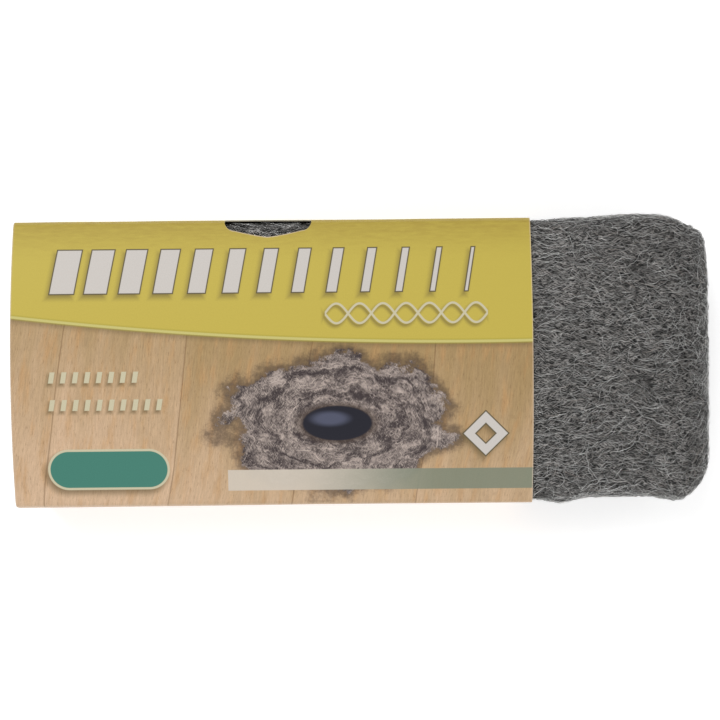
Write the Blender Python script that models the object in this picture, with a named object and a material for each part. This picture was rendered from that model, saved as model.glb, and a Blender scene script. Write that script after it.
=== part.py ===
"""Steel wool pad in a folded card sleeve.

A ribbon of steel wool is wound into a long roll and pressed flat. The roll is pushed into a
sleeve that is folded from one strip of card and glued shut with a lap along its back. About a
quarter of the roll stands out of the sleeve's right end, to be felt and torn off.

The pad lies on its back: +X runs along the pad towards the bare wool, +Y across it towards the
fold with the hang hole, and +Z out of the printed front. The origin is below the middle of the
whole pad, at the height of the surface that it lies on.
"""

import math

import bmesh
import bpy
from mathutils import Vector

# Card sleeve
SLEEVE_LENGTH = 0.1794
SLEEVE_WIDTH = 0.0987
SLEEVE_DEPTH = 0.0385
FRONT_ARCH = 0.0063
SIDE_BOW = 0.0012
FOLD_RADIUS = 0.0030
CARD = 0.00045

# Glued lap on the back panel
LAP_WIDTH = 0.015
LAP_EDGE_Y = -0.012
LAP_SLOPE = 0.0006

# Hang hole, punched across the fold between the front and the upper side panel
# The depths are measured on the front, at the hole's round ends and at its middle.
HOLE_WIDTH = 0.0302
HOLE_END_DEPTH = 0.0037
HOLE_MIDDLE_DEPTH = 0.0060
HOLE_POINTEDNESS = 1.3
HOLE_FROM_LEFT = 0.0884

# Clearance between the card and the wool
FIT = 0.0003

# Wool roll. Where it is bare it springs out past the sleeve: upwards by its rise, and to its
# own full width over the spring length.
WOOL_RECESS = 0.0020
WOOL_BARE_LENGTH = 0.0646
WOOL_WIDTH = 0.1005
WOOL_RISE = 0.0004
WOOL_ARCH = 0.0040
WOOL_SIDE_BOW = 0.0030
WOOL_EDGE_RADIUS = 0.0085
SPRING_LENGTH = 0.016

# Rounded ends of the roll: their length, how square they are across and up, and how much of
# that length is drawn before the flat tip
END_LENGTH = 0.020
END_SQUARE_ACROSS = 6.1
END_SQUARE_UP = 2.4
END_DRAWN_SHARE = 0.997

# Swellings, and hollows below zero, along the bare wool's two long sides. Each has its
# distance from the roll's end, its reach to either side and its height.
UPPER_SWELLS = [
    (0.0573, 0.0262, 0.0009),
    (0.0246, 0.0269, 0.0019),
    (0.0075, 0.0106, -0.0020),
]
LOWER_SWELLS = [
    (0.0556, 0.0109, 0.0020),
    (0.0247, 0.0527, -0.0009),
    (0.0119, 0.0109, 0.0015),
    (0.0037, 0.0090, -0.0027),
]

# Turns of the roll, seen on its long sides
TURN_PITCH = 0.0042
GROOVE_DEPTH = 0.0040
GROOVE_WIDTH = 0.0018

# Facets
FOLD_STEPS = 4
SIDE_STEPS = 6
FRONT_STEPS = 20
END_STEPS = 9
BARE_STEPS = 9
HOLE_END_STEPS = 6
HOLE_EDGE_STEPS = 6
TURN_STEPS = 9
SHARP_ANGLE = math.radians(35)

WOOL_THICKNESS = SLEEVE_DEPTH + FRONT_ARCH + WOOL_RISE
PAD_LENGTH = SLEEVE_LENGTH + WOOL_BARE_LENGTH
SLEEVE_LEFT = -PAD_LENGTH / 2
SLEEVE_RIGHT = SLEEVE_LEFT + SLEEVE_LENGTH
WOOL_LEFT = SLEEVE_LEFT + WOOL_RECESS
WOOL_RIGHT = PAD_LENGTH / 2


class Panel:
    """One side of a section, from start to end, bowed outwards. Sections are drawn in (Y, Z)."""

    def __init__(self, start, end, bow):
        self.start = Vector(start)
        self.end = Vector(end)
        self.chord = (self.end - self.start).length
        self.along = (self.end - self.start).normalized()
        self.out = Vector((self.along.y, -self.along.x))
        self.bow = bow
        if bow:
            self.radius = (self.chord**2 / 4 + bow**2) / (2 * bow)
            self.half_angle = math.asin(self.chord / (2 * self.radius))
            middle = (self.start + self.end) / 2
            self.centre = middle - self.out * (self.radius - bow)

    def place(self, share):
        """The point at a share of the way along the panel."""
        if not self.bow:
            return self.start.lerp(self.end, share)
        angle = (2 * share - 1) * self.half_angle
        return self.centre + self.radius * (self.out * math.cos(angle) + self.along * math.sin(angle))

    def heading(self, share):
        """The direction of travel at a share of the way along the panel."""
        if not self.bow:
            return self.along
        angle = (2 * share - 1) * self.half_angle
        return self.along * math.cos(angle) - self.out * math.sin(angle)


def section(width, depth, arch, bow, radius):
    """Four panels round a section, anticlockwise from the flat back, and their rounded corners.

    The first and last points lie on the back panel, which closes the outline.
    """
    half = width / 2
    corners = [(-half, 0), (half, 0), (half, depth), (-half, depth)]
    bows = [0, bow, arch, bow]
    steps = [1, SIDE_STEPS, FRONT_STEPS, SIDE_STEPS]
    panels = [Panel(corners[i], corners[(i + 1) % 4], bows[i]) for i in range(4)]
    points = []
    for i, panel in enumerate(panels):
        after = panels[(i + 1) % 4]
        turn = panel.heading(1).angle(after.heading(0))
        setback = radius * math.tan(turn / 2)
        if i > 0:
            first = setback / panel.chord
            for step in range(1, steps[i]):
                share = first + (1 - 2 * first) * step / steps[i]
                points.append(panel.place(share))
        points += rounded_corner(panel, after, setback, radius, turn)
    return points


def rounded_corner(panel, after, setback, radius, turn):
    """Points round the corner between two panels, on a curve close to an arc."""
    start = panel.place(1 - setback / panel.chord)
    end = after.place(setback / after.chord)
    handle = radius * math.tan(turn / 4) * 4 / 3
    start_heading = panel.heading(1 - setback / panel.chord)
    end_heading = after.heading(setback / after.chord)
    points = []
    for step in range(FOLD_STEPS + 1):
        share = step / FOLD_STEPS
        rest = 1 - share
        points.append(
            start * rest**3
            + (start + start_heading * handle) * (3 * rest**2 * share)
            + (end - end_heading * handle) * (3 * rest * share**2)
            + end * share**3
        )
    return points


def inset(points, distance):
    """The outline moved inwards by the same distance along every side."""
    moved = []
    for i, point in enumerate(points):
        before = (point - points[i - 1]).normalized()
        after = (points[(i + 1) % len(points)] - point).normalized()
        normal = Vector((before.y + after.y, -before.x - after.x)).normalized()
        lean = normal.dot(Vector((before.y, -before.x)))
        moved.append(point - normal * (distance / lean))
    return moved


def material(name, colour, roughness, metallic=0.0):
    """A plain Principled material."""
    made = bpy.data.materials.new(name)
    made.use_nodes = True
    shader = made.node_tree.nodes["Principled BSDF"]
    shader.inputs["Base Color"].default_value = (*colour, 1)
    shader.inputs["Roughness"].default_value = roughness
    shader.inputs["Metallic"].default_value = metallic
    return made


def add_object(name, bm, surface=None):
    """Turn a bmesh into a named object, shaded smooth between its sharp edges."""
    mesh = bpy.data.meshes.new(name)
    bm.to_mesh(mesh)
    bm.free()
    mesh.shade_smooth()
    mesh.set_sharp_from_angle(angle=SHARP_ANGLE)
    made = bpy.data.objects.new(name, mesh)
    bpy.context.collection.objects.link(made)
    if surface:
        mesh.materials.append(surface)
    return made


def cut(target, cutter):
    """Cut one object out of another, and keep the cutter as a wire guide."""
    cutter.hide_render = True
    cutter.display_type = "WIRE"
    modifier = target.modifiers.new(cutter.name, "BOOLEAN")
    modifier.operation = "DIFFERENCE"
    modifier.solver = "EXACT"
    modifier.object = cutter


def extrude_along_x(loops, start, length):
    """Fill the area between closed (Y, Z) outlines and extrude it along X."""
    bm = bmesh.new()
    edges = []
    for loop in loops:
        verts = [bm.verts.new((start, point.x, point.y)) for point in loop]
        edges += [bm.edges.new((verts[i - 1], verts[i])) for i in range(len(verts))]
    bmesh.ops.triangle_fill(bm, use_beauty=True, edges=edges)
    made = bmesh.ops.extrude_face_region(bm, geom=bm.faces[:])
    moved = [item for item in made["geom"] if isinstance(item, bmesh.types.BMVert)]
    bmesh.ops.translate(bm, vec=(length, 0, 0), verts=moved)
    bmesh.ops.recalc_face_normals(bm, faces=bm.faces[:])
    return bm


def sleeve_outlines():
    """Outer and inner outline of the folded card, with the glued lap on its back.

    The strip's outer end comes round from +Y and stops at the lap's edge. Its inner end comes
    from -Y, steps up behind that edge by the card's thickness, and runs on inside.
    """
    outer = section(SLEEVE_WIDTH, SLEEVE_DEPTH, FRONT_ARCH, SIDE_BOW, FOLD_RADIUS)
    inner = inset(outer, CARD)
    outer += [
        Vector((LAP_EDGE_Y - LAP_SLOPE, 0)),
        Vector((LAP_EDGE_Y, CARD)),
        Vector((LAP_EDGE_Y, 0)),
    ]
    lead = CARD * math.tan(math.atan2(CARD, LAP_SLOPE) / 2)
    inner += [
        Vector((LAP_EDGE_Y - LAP_SLOPE - lead, CARD)),
        Vector((LAP_EDGE_Y - lead, 2 * CARD)),
        Vector((LAP_EDGE_Y + LAP_WIDTH, 2 * CARD)),
        Vector((LAP_EDGE_Y + LAP_WIDTH, CARD)),
    ]
    return outer, inner


def hang_hole_outline(foreshortening):
    """The hole's outline along X and across the fold: round ends, and long sides with a point."""
    end_radius = HOLE_END_DEPTH * foreshortening
    point_rise = HOLE_MIDDLE_DEPTH * foreshortening - end_radius
    half = HOLE_WIDTH / 2 - end_radius
    outline = []
    for sign in (1, -1):
        for step in range(HOLE_END_STEPS + 1):
            angle = math.pi * (step / HOLE_END_STEPS - 0.5)
            along = half + end_radius * math.cos(angle)
            outline.append((sign * along, sign * end_radius * math.sin(angle)))
        for step in range(1, HOLE_EDGE_STEPS):
            share = 1 - 2 * step / HOLE_EDGE_STEPS
            depth = end_radius + point_rise * (1 - abs(share) ** HOLE_POINTEDNESS)
            outline.append((sign * half * share, sign * depth))
    return outline


def hang_hole_cutter():
    """A prism square to the upper front fold."""
    half = SLEEVE_WIDTH / 2
    side = Panel((half, 0), (half, SLEEVE_DEPTH), SIDE_BOW)
    front = Panel((half, SLEEVE_DEPTH), (-half, SLEEVE_DEPTH), FRONT_ARCH)
    before = side.heading(1)
    after = front.heading(0)
    foreshortening = math.cos(before.angle(after) / 2)
    across = (before + after).normalized()
    out = Vector((across.y, -across.x))
    reach = HOLE_MIDDLE_DEPTH + FOLD_RADIUS

    fold = Vector((half, SLEEVE_DEPTH))
    middle_x = SLEEVE_LEFT + HOLE_FROM_LEFT
    bm = bmesh.new()
    verts = []
    for along, depth in hang_hole_outline(foreshortening):
        place = fold + across * depth - out * reach
        verts.append(bm.verts.new((middle_x + along, place.x, place.y)))
    bm.faces.new(verts)
    made = bmesh.ops.extrude_face_region(bm, geom=bm.faces[:])
    moved = [item for item in made["geom"] if isinstance(item, bmesh.types.BMVert)]
    bmesh.ops.translate(bm, vec=Vector((0, out.x, out.y)) * 2 * reach, verts=moved)
    bmesh.ops.recalc_face_normals(bm, faces=bm.faces[:])
    return add_object("hang_hole_cutter", bm)


def make_sleeve():
    """The folded card sleeve, open at both ends."""
    bm = extrude_along_x(sleeve_outlines(), SLEEVE_LEFT, SLEEVE_LENGTH)
    printed_card = material("printed_card", (0.56, 0.44, 0.09), 0.45)
    sleeve = add_object("card_sleeve", bm, printed_card)
    cut(sleeve, hang_hole_cutter())
    return sleeve


def ease(share):
    """A smooth step from 0 to 1."""
    share = min(max(share, 0), 1)
    return share * share * (3 - 2 * share)


def swelling(x, swells):
    """How far the swellings along one long side push the wool out at one place."""
    total = 0
    for from_end, reach, height in swells:
        share = min(abs(x - (WOOL_RIGHT - from_end)) / reach, 1)
        total += height * (1 + math.cos(math.pi * share)) / 2
    return total


def superellipse(share, power):
    """How much of the full size is left at a share of the way to a rounded end."""
    return (1 - share**power) ** (1 / power)


def held_section():
    """The wool's outline inside the sleeve, clear of the card and of the lap."""
    outline = inset(
        section(SLEEVE_WIDTH, SLEEVE_DEPTH, FRONT_ARCH, SIDE_BOW, FOLD_RADIUS),
        CARD + FIT,
    )
    floor = 2 * CARD + FIT
    top = SLEEVE_DEPTH + FRONT_ARCH - CARD - FIT
    low = CARD + FIT
    squeeze = (top - floor) / (top - low)
    return [Vector((point.x, top - (top - point.y) * squeeze)) for point in outline]


def bare_section(x):
    """The wool's own outline outside the sleeve."""
    straight = WOOL_WIDTH - 2 * WOOL_SIDE_BOW
    outline = section(
        straight, WOOL_THICKNESS - WOOL_ARCH, WOOL_ARCH, WOOL_SIDE_BOW, WOOL_EDGE_RADIUS
    )
    upper = swelling(x, UPPER_SWELLS)
    lower = swelling(x, LOWER_SWELLS)
    shaped = []
    for point in outline:
        share = point.x / (WOOL_WIDTH / 2)
        change = upper * max(share, 0) - lower * max(-share, 0)
        shaped.append(Vector((point.x + change, point.y)))
    return shaped


def wool_outline(x):
    """The roll's outline at one place along it."""
    held = held_section()
    free = bare_section(x)
    share = ease((x - SLEEVE_RIGHT - FIT) / SPRING_LENGTH)
    outline = [a.lerp(b, share) for a, b in zip(held, free)]

    end_share = max(x - (WOOL_RIGHT - END_LENGTH), WOOL_LEFT + END_LENGTH - x, 0) / END_LENGTH
    across = superellipse(end_share, END_SQUARE_ACROSS)
    up = superellipse(end_share, END_SQUARE_UP)
    heights = [point.y for point in outline]
    middle = (min(heights) + max(heights)) / 2
    return [Vector((point.x * across, middle + (point.y - middle) * up)) for point in outline]


def wool_stations():
    """Places along the roll where its outline is drawn, closer together towards the ends."""
    last = math.asin(END_DRAWN_SHARE)
    end = [math.sin(last * i / END_STEPS) for i in range(1, END_STEPS + 1)]
    left = [WOOL_LEFT + END_LENGTH * (1 - share) for share in reversed(end)]
    right = [WOOL_RIGHT - END_LENGTH * (1 - share) for share in end]
    bare_start = SLEEVE_RIGHT + FIT
    bare_end = WOOL_RIGHT - END_LENGTH
    bare = [bare_start + (bare_end - bare_start) * i / BARE_STEPS for i in range(BARE_STEPS + 1)]
    return left + [WOOL_LEFT + END_LENGTH] + bare + right


def turn_cutter(name, side):
    """A thin wedge along the gap between the roll's turns, for the long side at +Y or -Y.

    It starts where the ribbon's outer end lies, on the roll's top inside the sleeve, and winds
    inwards by one pitch for each turn.
    """
    middle = WOOL_THICKNESS / 2
    half_turns = math.floor(2 * middle / TURN_PITCH) - 1
    flattening = END_LENGTH / middle
    left = WOOL_LEFT + END_LENGTH
    right = WOOL_RIGHT - END_LENGTH
    face = side * WOOL_WIDTH / 2
    outside = face + side * GROOVE_DEPTH
    bottom = face - side * GROOVE_DEPTH
    half_width = GROOVE_WIDTH / 2 * (outside - bottom) / (face - bottom)

    bm = bmesh.new()
    rings = []
    for half_turn in range(half_turns):
        end_x = left if half_turn % 2 == 0 else right
        for step in range(TURN_STEPS + 1):
            turned = math.pi * (half_turn + step / TURN_STEPS)
            reach = middle - TURN_PITCH * turned / (2 * math.pi)
            normal = Vector((-math.sin(turned) * flattening, math.cos(turned)))
            place = Vector((end_x, middle)) + normal * reach
            lean = normal.normalized() * half_width
            ring = [
                (place.x + lean.x, outside, place.y + lean.y),
                (place.x - lean.x, outside, place.y - lean.y),
                (place.x, bottom, place.y),
            ]
            rings.append([bm.verts.new(corner) for corner in ring])
    for before, after in zip(rings, rings[1:]):
        for i in range(3):
            bm.faces.new((before[i - 1], before[i], after[i], after[i - 1]))
    bm.faces.new(rings[0])
    bm.faces.new(rings[-1])
    bmesh.ops.recalc_face_normals(bm, faces=bm.faces[:])
    return add_object(name, bm)


def make_wool():
    """The flattened roll of steel wool."""
    bm = bmesh.new()
    rings = []
    for x in wool_stations():
        rings.append([bm.verts.new((x, point.x, point.y)) for point in wool_outline(x)])
    for before, after in zip(rings, rings[1:]):
        for i in range(len(before)):
            bm.faces.new((before[i - 1], before[i], after[i], after[i - 1]))
    bm.faces.new(rings[0])
    bm.faces.new(rings[-1])
    bmesh.ops.recalc_face_normals(bm, faces=bm.faces[:])
    steel = material("steel_wool", (0.11, 0.105, 0.10), 0.4, 0.8)
    wool = add_object("wool_hank", bm, steel)
    cut(wool, turn_cutter("upper_turn_cutter", 1))
    cut(wool, turn_cutter("lower_turn_cutter", -1))
    return wool


def main():
    for existing in list(bpy.data.objects):
        bpy.data.objects.remove(existing, do_unlink=True)
    pad = bpy.data.objects.new("steel_wool_pad", None)
    bpy.context.collection.objects.link(pad)
    for piece in (make_sleeve(), make_wool()):
        piece.parent = pad


main()
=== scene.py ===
"""The looks of the steel wool pad: a printed card sleeve round a roll of steel fibres.

Sizes are in metres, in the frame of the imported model: +X along the pad towards the bare wool,
+Y across it towards the fold with the hang hole, +Z up out of the printed front. Sizes of the
print are in millimetres on the unfolded card.
"""

import math
from functools import partialmethod

import bmesh
import bpy
import numpy as np
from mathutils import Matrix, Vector, noise
from mathutils.bvhtree import BVHTree


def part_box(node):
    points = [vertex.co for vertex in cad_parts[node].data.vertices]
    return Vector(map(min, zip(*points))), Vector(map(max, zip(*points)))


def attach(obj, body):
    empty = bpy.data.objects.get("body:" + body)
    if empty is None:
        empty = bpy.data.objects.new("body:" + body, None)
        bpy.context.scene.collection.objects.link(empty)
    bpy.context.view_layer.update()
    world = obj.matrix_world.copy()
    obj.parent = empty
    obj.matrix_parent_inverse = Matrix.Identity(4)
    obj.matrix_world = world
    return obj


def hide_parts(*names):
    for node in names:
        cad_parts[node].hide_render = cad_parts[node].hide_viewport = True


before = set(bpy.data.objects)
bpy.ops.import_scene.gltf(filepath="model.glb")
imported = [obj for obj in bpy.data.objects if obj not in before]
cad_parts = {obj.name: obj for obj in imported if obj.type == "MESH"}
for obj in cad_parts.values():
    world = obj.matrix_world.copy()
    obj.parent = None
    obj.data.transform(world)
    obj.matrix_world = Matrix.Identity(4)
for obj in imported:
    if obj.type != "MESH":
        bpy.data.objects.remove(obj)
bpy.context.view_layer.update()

MM = 0.001

# The photograph's view: straight down, from a little under half a metre
PHOTO_SIDE_PX = 720
PX_PER_MM = 2.88
CAMERA_HEIGHT = 0.48
CAMERA_X = -0.00205
CAMERA_Y = 0.00056
CAMERA_ROLL = math.radians(-0.52)
SENSOR_MM = 36
FLOOR_REACH = 30
FLOOR_GAP = 0.00005
FLOOR_TONE = 0.86
FLOOR_GLOW = 0.34
WORLD_STRENGTH = 0.56
# Each light's place, width and power in watts
LIGHTS = {
    "key": ((-0.45, 0.65, 1.10), 0.7, 9),
    "fill": ((0.20, -0.90, 1.00), 1.0, 7),
}

# The sleeve, taken from its solid and from the sizes that it was folded to
SLEEVE_LOW, SLEEVE_HIGH = (Vector(corner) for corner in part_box("card_sleeve"))
FRONT_ARCH = 0.0063
SIDE_BOW = 0.0012
FOLD_RADIUS = 0.0030
FOLD_SHORTCUT = 0.00048
CARD = 0.00045
LAP_WIDTH = 0.015
LAP_EDGE_Y = -0.012
LAP_SLOPE = 0.0006
GLUE_GAP = 0.00003
SLEEVE_LENGTH = SLEEVE_HIGH.x - SLEEVE_LOW.x
SLEEVE_WIDTH = SLEEVE_HIGH.y - SLEEVE_LOW.y - 2 * SIDE_BOW
SLEEVE_DEPTH = SLEEVE_HIGH.z - FRONT_ARCH
SLEEVE_LEFT = SLEEVE_LOW.x
SLEEVE_RIGHT = SLEEVE_HIGH.x

# The hang hole across the upper front fold
HOLE_WIDTH = 0.0302
HOLE_END_DEPTH = 0.0037
HOLE_MIDDLE_DEPTH = 0.0060
HOLE_POINTEDNESS = 1.3
HOLE_END_STEPS = 14
HOLE_EDGE_STEPS = 20
HOLE_X = SLEEVE_LEFT + 0.0884

# The roll of wool, taken from its solid and from the sizes that it springs out to
WOOL_LOW, WOOL_HIGH = (Vector(corner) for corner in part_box("wool_hank"))
WOOL_LEFT = WOOL_LOW.x
WOOL_RIGHT = WOOL_HIGH.x
WOOL_WIDTH = 0.1005
WOOL_THICKNESS = WOOL_HIGH.z
WOOL_ARCH = 0.0040
WOOL_SIDE_BOW = 0.0030
WOOL_EDGE_RADIUS = 0.0085
SPRING_LENGTH = 0.016
END_LENGTH = 0.020
END_SQUARE_ACROSS = 6.1
END_SQUARE_UP = 2.4
END_REACH = 0.9995
FIT = 0.0003
# Swellings of each long side: middle from the right end, half length and height
UPPER_SWELLS = [(0.0573, 0.0262, 0.0009), (0.0246, 0.0269, 0.0019), (0.0075, 0.0106, -0.0020)]
LOWER_SWELLS = [
    (0.0556, 0.0109, 0.0020),
    (0.0247, 0.0527, -0.0009),
    (0.0119, 0.0109, 0.0015),
    (0.0037, 0.0090, -0.0027),
]
TURN_PITCH = 0.0042

# Light that the front gets, as a share of what would show its own colours unchanged
FRONT_LIGHT = 1.23


def srgb(red, green, blue, light=1.0):
    """A colour given as 0 to 255 in sRGB, as the linear RGBA that looks so under the light."""
    linear = []
    for value in (red, green, blue):
        value /= 255
        value = value / 12.92 if value <= 0.04045 else ((value + 0.055) / 1.055) ** 2.4
        linear.append(value / light)
    return (*linear, 1.0)


def ink(red, green, blue):
    """A printed colour, given as it looks on the front in this light."""
    return srgb(red, green, blue, FRONT_LIGHT)


def add_object(name, data):
    """A new object in the scene."""
    made = bpy.data.objects.new(name, data)
    bpy.context.collection.objects.link(made)
    return made


def new_material(name, settings):
    """A material, its nodes and its shader, with some of the shader's inputs set."""
    made = bpy.data.materials.new(name)
    made.use_nodes = True
    shader = made.node_tree.nodes["Principled BSDF"]
    for key, value in settings.items():
        shader.inputs[key].default_value = value
    return made, made.node_tree, shader


# Camera, light and floor


def make_camera():
    data = bpy.data.cameras.new("camera")
    data.sensor_width = SENSOR_MM
    data.sensor_fit = "HORIZONTAL"
    data.lens = SENSOR_MM * CAMERA_HEIGHT / (PHOTO_SIDE_PX / PX_PER_MM * MM)
    data.clip_start = 0.05
    data.clip_end = 100
    camera = add_object("camera", data)
    camera.location = (CAMERA_X, CAMERA_Y, SLEEVE_DEPTH + CAMERA_HEIGHT)
    camera.rotation_euler = (0, 0, CAMERA_ROLL)
    bpy.context.scene.camera = camera


def make_light():
    world = bpy.data.worlds.new("studio")
    world.use_nodes = True
    background = world.node_tree.nodes["Background"]
    background.inputs["Color"].default_value = (1.0, 1.0, 1.0, 1.0)
    background.inputs["Strength"].default_value = WORLD_STRENGTH
    bpy.context.scene.world = world
    bpy.context.scene.view_settings.view_transform = "Standard"
    for name, (place, width, power) in LIGHTS.items():
        data = bpy.data.lights.new(name, "AREA")
        data.shape = "SQUARE"
        data.size = width
        data.energy = power
        light = add_object(name, data)
        light.location = place
        towards = Vector((0, 0, SLEEVE_DEPTH)) - Vector(place)
        light.rotation_euler = towards.to_track_quat("-Z", "Y").to_euler()


def make_floor():
    sides = ((-1, -1), (1, -1), (1, 1), (-1, 1))
    corners = [(x * FLOOR_REACH, y * FLOOR_REACH, -FLOOR_GAP) for x, y in sides]
    mesh = bpy.data.meshes.new("floor")
    mesh.from_pydata(corners, [], [(0, 1, 2, 3)])
    settings = {
        "Base Color": (FLOOR_TONE, FLOOR_TONE, FLOOR_TONE, 1),
        "Roughness": 0.9,
        "Specular IOR Level": 0.1,
        "Emission Color": (1, 1, 1, 1),
        "Emission Strength": FLOOR_GLOW,
    }
    mesh.materials.append(new_material("pale_floor", settings)[0])
    floor = add_object("floor", mesh)


# Numbers and colours that vary over a surface


def feed(tree, socket, value):
    """Give a node's input a constant, or what another node makes."""
    if isinstance(value, Number):
        value = value.socket
    if isinstance(value, bpy.types.NodeSocket):
        tree.links.new(value, socket)
    else:
        socket.default_value = value


class Number:
    """A number that varies over a surface. Arithmetic on it adds Math nodes to its material."""

    def __init__(self, tree, socket):
        self.tree = tree
        self.socket = socket

    def math(self, operation, *others):
        node = self.tree.nodes.new("ShaderNodeMath")
        node.operation = operation
        for slot, value in enumerate((self, *others)):
            feed(self.tree, node.inputs[slot], value)
        return Number(self.tree, node.outputs[0])

    __add__ = partialmethod(math, "ADD")
    __sub__ = partialmethod(math, "SUBTRACT")
    __mul__ = partialmethod(math, "MULTIPLY")
    __truediv__ = partialmethod(math, "DIVIDE")
    __neg__ = partialmethod(math, "MULTIPLY", -1)
    least = partialmethod(math, "MINIMUM")
    most = partialmethod(math, "MAXIMUM")
    absolute = partialmethod(math, "ABSOLUTE")
    floor = partialmethod(math, "FLOOR")
    power = partialmethod(math, "POWER")

    def ramp(self, low, high):
        """0 below low, 1 above high, and smooth between them. It falls where low is the larger."""
        node = self.tree.nodes.new("ShaderNodeMapRange")
        node.interpolation_type = "SMOOTHSTEP"
        feed(self.tree, node.inputs["Value"], self)
        ends = sorted(((low, 0.0), (high, 1.0)))
        for name, (value, result) in zip(("Min", "Max"), ends):
            node.inputs["From " + name].default_value = value
            node.inputs["To " + name].default_value = result
        return Number(self.tree, node.outputs["Result"])

    def inside(self, edge=0.12):
        """1 where a signed distance is below 0, with a soft edge as wide as ink spreads."""
        return self.ramp(edge, -edge)


def grain(across, along, scale_across, scale_along, detail=3.0, offset=0.0, roughness=0.5):
    """Noise from 0 to 1 whose spots are stretched by two scales, in spots per millimetre."""
    tree = across.tree
    place = tree.nodes.new("ShaderNodeCombineXYZ")
    for slot, value in enumerate((across * scale_across, along * scale_along, offset)):
        feed(tree, place.inputs[slot], value)
    node = tree.nodes.new("ShaderNodeTexNoise")
    tree.links.new(place.outputs[0], node.inputs["Vector"])
    node.inputs["Scale"].default_value = 1.0
    node.inputs["Detail"].default_value = detail
    node.inputs["Roughness"].default_value = roughness
    return Number(tree, node.outputs[0])


def chance(number):
    """A random value from 0 to 1 for each number."""
    tree = number.tree
    node = tree.nodes.new("ShaderNodeTexWhiteNoise")
    node.noise_dimensions = "1D"
    feed(tree, node.inputs["W"], number)
    return Number(tree, node.outputs["Value"])


def blend(tree, under, over, share, mode="MIX"):
    """One colour over another. A colour is a socket or fixed RGBA."""
    node = tree.nodes.new("ShaderNodeMix")
    node.data_type = "RGBA"
    node.blend_type = mode
    for slot, value in ((6, under), (7, over), (0, share)):
        feed(tree, node.inputs[slot], value)
    return node.outputs[2]


def shade(tree, colour, number):
    """A colour made darker or lighter by a number round 1."""
    return blend(tree, colour, number, 1.0, "MULTIPLY")


def ellipse(across, down, middle, half_across, half_down):
    """A distance to an ellipse's edge, near enough for thin outlines, below 0 inside it."""
    aside = (across - middle[0]) / half_across
    drop = (down - middle[1]) / half_down
    return ((aside * aside + drop * drop).power(0.5) - 1) * min(half_across, half_down)


def box_shape(across, down, middle, half_across, half_down, corner=0.0):
    """A distance to a rectangle's edge, with rounded corners, below 0 inside it."""
    aside = (across - middle[0]).absolute() - (half_across - corner)
    drop = (down - middle[1]).absolute() - (half_down - corner)
    if not corner:
        return aside.most(drop)
    outside = (aside.most(0) * aside.most(0) + drop.most(0) * drop.most(0)).power(0.5)
    return outside + aside.most(drop).least(0) - corner


# Layout of the printed front, in millimetres: along from the left end, down from the upper fold
FRONT_LENGTH = SLEEVE_LENGTH / MM
FIELD_LEFT_DOWN = 33.5
FIELD_FALL = 22.0
FIELD_LEVELLING = 12.5
FIELD_BORDER = 0.9
BARS_LEFT = 13.0
BARS_PITCH = 11.6
BARS_COUNT = 13
BARS_DOWN = 17.6
BARS_HALF_HEIGHT = 7.6
BARS_WIDEST = 4.1
BARS_NARROWEST = 0.45
BARS_SLANT = 0.17
OUTLINE = 0.42
SHADOW_LEFT = 0.9
SHADOW_DOWN = 1.4
STRANDS_LEFT = 108.0
STRANDS_RIGHT = 164.0
STRANDS_DOWN = 32.8
STRANDS_RISE = 3.4
STRAND_PITCH = 16.0
STRAND_STROKE = 0.38
ROLL_MIDDLE = (112.0, 70.5)
ROLL_HALF_LENGTH = 37.0
ROLL_HALF_HEIGHT = 22.5
TUBE_HALF_LENGTH = 12.0
TUBE_HALF_HEIGHT = 6.0
DASH_LEFT = 12.0
DASH_PITCH = 4.1
DASH_HALF_WIDTH = 0.85
DASH_HALF_HEIGHT = 1.9
DASH_ROWS = ((54.0, 8), (63.5, 10))
LOZENGE_MIDDLE = (163.0, 74.5)
LOZENGE_HALF = 7.6
LOZENGE_STROKE = 2.7
OVAL_MIDDLE = (33.0, 86.0)
OVAL_HALF_LENGTH = 21.0
OVAL_HALF_HEIGHT = 7.2
OVAL_RIM = 0.8
STRIP_LEFT = 74.0
STRIP_TOP = 86.6
STRIP_BOTTOM = 94.0
PLANK_WIDTH = 43.0
PLANK_LEAN = 0.14
PLANK_OFFSET = 17.0

YELLOW = ink(200, 181, 81)
# Duller yellow, for the print's mottle and for painted shade towards the upper fold
YELLOW_DULL_AND_SHADE = ink(173, 149, 66)
YELLOW_BORDER = ink(208, 200, 128)
YELLOW_SHADE = ink(168, 156, 62)
WOOD_OLIVE = ink(170, 142, 98)
WOOD_PINK = ink(216, 184, 152)
WOOD_ORANGE = ink(196, 150, 98)
WOOD_PORE = ink(118, 88, 56)
WHITE_INK = ink(208, 202, 196)
CREAM_INK = ink(206, 198, 168)
DARK_INK = ink(98, 88, 62)
PRINT_SHADOW = ink(104, 88, 56)
GREEN_INK = ink(70, 130, 115)
STRIP_GREEN = ink(129, 136, 117)
STRIP_PALE = ink(212, 201, 186)
FIBRE_LIGHT = ink(200, 184, 174)
FIBRE_DARK = ink(66, 57, 58)
FIBRE_SHADOW = ink(74, 60, 52)
TUBE_INK = ink(34, 34, 44)
TUBE_SHINE = ink(96, 100, 122)
CUT_CARD = ink(214, 205, 180)
# Pale print, for wear and for the painted highlight along the lower front fold
WORN_PRINT_AND_HIGHLIGHT = ink(222, 203, 184)
BARE_BOARD = srgb(186, 180, 168)
# Near-black painted shade for the gaps deep in the wool, under light packed strands
PACKED_SHADE = srgb(5, 5, 5)
PACKED_LIGHT = srgb(152, 149, 146)


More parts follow.
